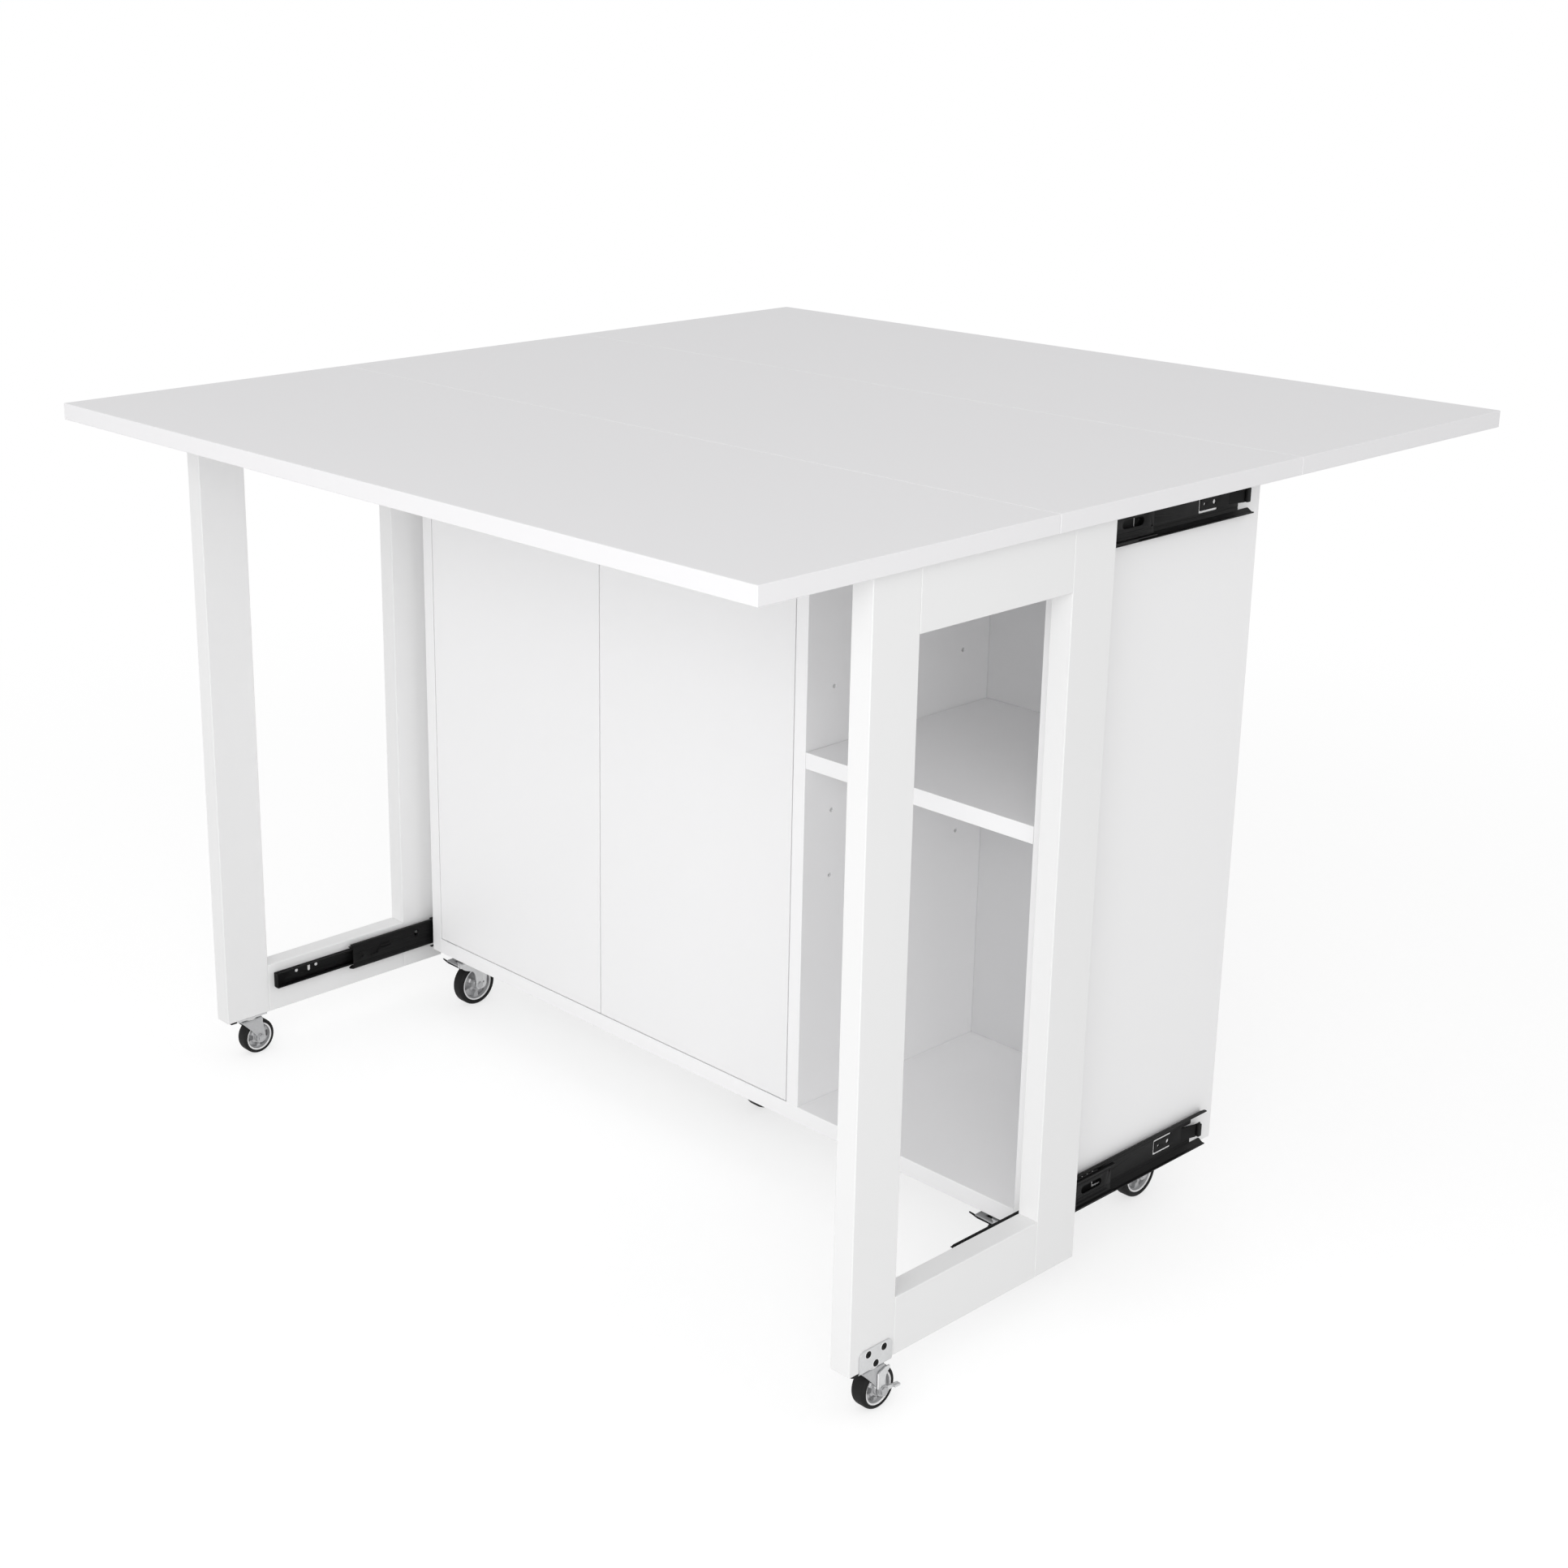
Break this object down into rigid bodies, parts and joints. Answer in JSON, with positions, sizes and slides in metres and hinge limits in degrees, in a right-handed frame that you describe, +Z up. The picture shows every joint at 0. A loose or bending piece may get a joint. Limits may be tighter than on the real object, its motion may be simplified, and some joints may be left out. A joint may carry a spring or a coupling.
{
  "type": "rolling kitchen island",
  "caption": "Rolling island on casters with a drop-leaf worktop, pull-out gate supports on slides, a cupboard with doors and an open shelved bay.",
  "frame": {"origin": "on the floor below the middle of the raised worktop", "axes": "+X to the right along the worktop, +Y to the back, +Z up"},
  "size_m": [1.144, 1.2, 0.8828],
  "materials": {
    "white_board": "white melamine-faced board, matt",
    "white_frame": "white melamine-faced board, matt",
    "black_steel": "black coated rolled steel",
    "bumper_rubber": "matt",
    "zinc_steel": "bright zinc plate",
    "pedal_steel": "satin",
    "grey_hub": "satin light grey",
    "black_tyre": "matt black",
    "catch_plastic": "matt"
  },
  "bodies": {
    "cabinet": {"centre_top": "white_board", "front_leaf": "white_board", "front_leaf_straps": "zinc_steel", "leaf_hinges": "zinc_steel", "left_side": "white_board", "right_side": "white_board", "divider": "white_board", "bottom_board": "white_board", "back_board": "white_board", "top_stretchers": "white_board", "bay_shelf": "white_board", "cupboard_shelf": "white_board", "shelf_pins": "zinc_steel", "door_pivots": "zinc_steel", "push_catches": "catch_plastic", "slide_outers": "black_steel", "slide_bumpers": "bumper_rubber", "caster_plates": "zinc_steel"},
    "rear_leaf": {"rear_leaf": "white_board", "rear_leaf_straps": "zinc_steel"},
    "left_door": {"left_door": "white_board"},
    "right_door": {"right_door": "white_board"},
    "left_plunger": {"left_plunger": "catch_plastic"},
    "right_plunger": {"right_plunger": "catch_plastic"},
    "left_gate": {"left_gate_front_post": "white_frame", "left_gate_rear_post": "white_frame", "left_gate_bottom_rail": "white_frame", "left_gate_top_rail": "white_frame", "left_slide_inners": "black_steel", "left_gate_bracket": "zinc_steel"},
    "left_slide_mids": {"left_slide_mids": "black_steel"},
    "left_gate_caster": {"left_gate_fork": "zinc_steel"},
    "left_gate_wheel": {"left_gate_hub": "grey_hub", "left_gate_tyre": "black_tyre"},
    "left_gate_brake": {"left_gate_brake": "zinc_steel"},
    "right_gate": {"right_gate_front_post": "white_frame", "right_gate_rear_post": "white_frame", "right_gate_bottom_rail": "white_frame", "right_gate_top_rail": "white_frame", "right_slide_inners": "black_steel", "right_gate_bracket": "zinc_steel"},
    "right_slide_mids": {"right_slide_mids": "black_steel"},
    "right_gate_caster": {"right_gate_fork": "zinc_steel"},
    "right_gate_wheel": {"right_gate_hub": "grey_hub", "right_gate_tyre": "black_tyre"},
    "right_gate_brake": {"right_gate_brake": "zinc_steel"},
    "front_left_caster": {"front_left_fork": "zinc_steel"},
    "front_left_wheel": {"front_left_hub": "grey_hub", "front_left_tyre": "black_tyre"},
    "front_left_pedal": {"front_left_pedal": "pedal_steel"},
    "front_right_caster": {"front_right_fork": "zinc_steel"},
    "front_right_wheel": {"front_right_hub": "grey_hub", "front_right_tyre": "black_tyre"},
    "front_right_pedal": {"front_right_pedal": "pedal_steel"},
    "rear_left_caster": {"rear_left_fork": "zinc_steel"},
    "rear_left_wheel": {"rear_left_wheel": "black_tyre"},
    "rear_right_caster": {"rear_right_fork": "zinc_steel"},
    "rear_right_wheel": {"rear_right_wheel": "black_tyre"},
    "middle_caster": {"middle_fork": "zinc_steel"},
    "middle_wheel": {"middle_wheel": "black_tyre"}
  },
  "joints": [
    {"name": "rear_leaf_fold", "type": "hinge", "parent": "cabinet", "child": "rear_leaf", "pos_m": [0, 0.2125, 0.8602], "axis": [-1, 0, 0], "range_deg": [0, 90]},
    {"name": "left_door_swing", "type": "hinge", "parent": "cabinet", "child": "left_door", "pos_m": [-0.4864, -0.1186, 0.0985], "axis": [0, 0, -1], "range_deg": [0, 95]},
    {"name": "right_door_swing", "type": "hinge", "parent": "cabinet", "child": "right_door", "pos_m": [0.1455, -0.1186, 0.0985], "axis": [0, 0, 1], "range_deg": [0, 95]},
    {"name": "left_plunger_press", "type": "slide", "parent": "cabinet", "child": "left_plunger", "axis": [0, 1, 0], "range_m": [0, 0.004], "stiffness_N_per_m": 250},
    {"name": "right_plunger_press", "type": "slide", "parent": "cabinet", "child": "right_plunger", "axis": [0, 1, 0], "range_m": [0, 0.004], "stiffness_N_per_m": 250},
    {"name": "left_gate_slide", "type": "slide", "parent": "cabinet", "child": "left_gate", "axis": [0, 1, 0], "range_m": [0, 0.248]},
    {"name": "left_mids_slide", "type": "slide", "parent": "cabinet", "child": "left_slide_mids", "axis": [0, 1, 0], "range_m": [0, 0.124]},
    {"name": "right_gate_slide", "type": "slide", "parent": "cabinet", "child": "right_gate", "axis": [0, 1, 0], "range_m": [0, 0.248]},
    {"name": "right_mids_slide", "type": "slide", "parent": "cabinet", "child": "right_slide_mids", "axis": [0, 1, 0], "range_m": [0, 0.124]},
    {"name": "left_gate_swivel", "type": "hinge", "parent": "left_gate", "child": "left_gate_caster", "pos_m": [-0.5483, -0.408, 0.056], "axis": [0, 0, 1], "continuous": true},
    {"name": "left_gate_wheel_turn", "type": "hinge", "parent": "left_gate_caster", "child": "left_gate_wheel", "pos_m": [-0.5483, -0.396, 0.0233], "axis": [1, 0, 0], "continuous": true},
    {"name": "left_gate_brake_press", "type": "hinge", "parent": "left_gate_caster", "child": "left_gate_brake", "pos_m": [-0.5483, -0.396, 0.0233], "axis": [-1, 0, 0], "range_deg": [0, 18]},
    {"name": "right_gate_swivel", "type": "hinge", "parent": "right_gate", "child": "right_gate_caster", "pos_m": [0.5483, -0.408, 0.056], "axis": [0, 0, 1], "continuous": true},
    {"name": "right_gate_wheel_turn", "type": "hinge", "parent": "right_gate_caster", "child": "right_gate_wheel", "pos_m": [0.5483, -0.396, 0.0233], "axis": [1, 0, 0], "continuous": true},
    {"name": "right_gate_brake_press", "type": "hinge", "parent": "right_gate_caster", "child": "right_gate_brake", "pos_m": [0.5483, -0.396, 0.0233], "axis": [-1, 0, 0], "range_deg": [0, 18]},
    {"name": "front_left_swivel", "type": "hinge", "parent": "cabinet", "child": "front_left_caster", "pos_m": [-0.478, -0.075, 0.0767], "axis": [0, 0, 1], "continuous": true},
    {"name": "front_left_wheel_turn", "type": "hinge", "parent": "front_left_caster", "child": "front_left_wheel", "pos_m": [-0.478, -0.086, 0.03], "axis": [1, 0, 0], "continuous": true},
    {"name": "front_left_pedal_press", "type": "hinge", "parent": "front_left_caster", "child": "front_left_pedal", "pos_m": [-0.4645, -0.111, 0.0671], "axis": [0, -1, 0], "range_deg": [0, 12]},
    {"name": "front_right_swivel", "type": "hinge", "parent": "cabinet", "child": "front_right_caster", "pos_m": [0.46, -0.075, 0.0767], "axis": [0, 0, 1], "continuous": true},
    {"name": "front_right_wheel_turn", "type": "hinge", "parent": "front_right_caster", "child": "front_right_wheel", "pos_m": [0.46, -0.086, 0.03], "axis": [1, 0, 0], "continuous": true},
    {"name": "front_right_pedal_press", "type": "hinge", "parent": "front_right_caster", "child": "front_right_pedal", "pos_m": [0.4735, -0.111, 0.0671], "axis": [0, -1, 0], "range_deg": [0, 12]},
    {"name": "rear_left_swivel", "type": "hinge", "parent": "cabinet", "child": "rear_left_caster", "pos_m": [-0.478, 0.16, 0.0767], "axis": [0, 0, 1], "continuous": true},
    {"name": "rear_left_wheel_turn", "type": "hinge", "parent": "rear_left_caster", "child": "rear_left_wheel", "pos_m": [-0.478, 0.149, 0.03], "axis": [1, 0, 0], "continuous": true},
    {"name": "rear_right_swivel", "type": "hinge", "parent": "cabinet", "child": "rear_right_caster", "pos_m": [0.46, 0.16, 0.0767], "axis": [0, 0, 1], "continuous": true},
    {"name": "rear_right_wheel_turn", "type": "hinge", "parent": "rear_right_caster", "child": "rear_right_wheel", "pos_m": [0.46, 0.149, 0.03], "axis": [1, 0, 0], "continuous": true},
    {"name": "middle_swivel", "type": "hinge", "parent": "cabinet", "child": "middle_caster", "pos_m": [0.012, 0.002, 0.0767], "axis": [0, 0, 1], "continuous": true},
    {"name": "middle_wheel_turn", "type": "hinge", "parent": "middle_caster", "child": "middle_wheel", "pos_m": [0.012, -0.009, 0.03], "axis": [1, 0, 0], "continuous": true}
  ],
  "couplings": [
    {"joint": "left_mids_slide", "follows": "left_gate_slide", "ratio": 0.5},
    {"joint": "right_mids_slide", "follows": "right_gate_slide", "ratio": 0.5}
  ]
}
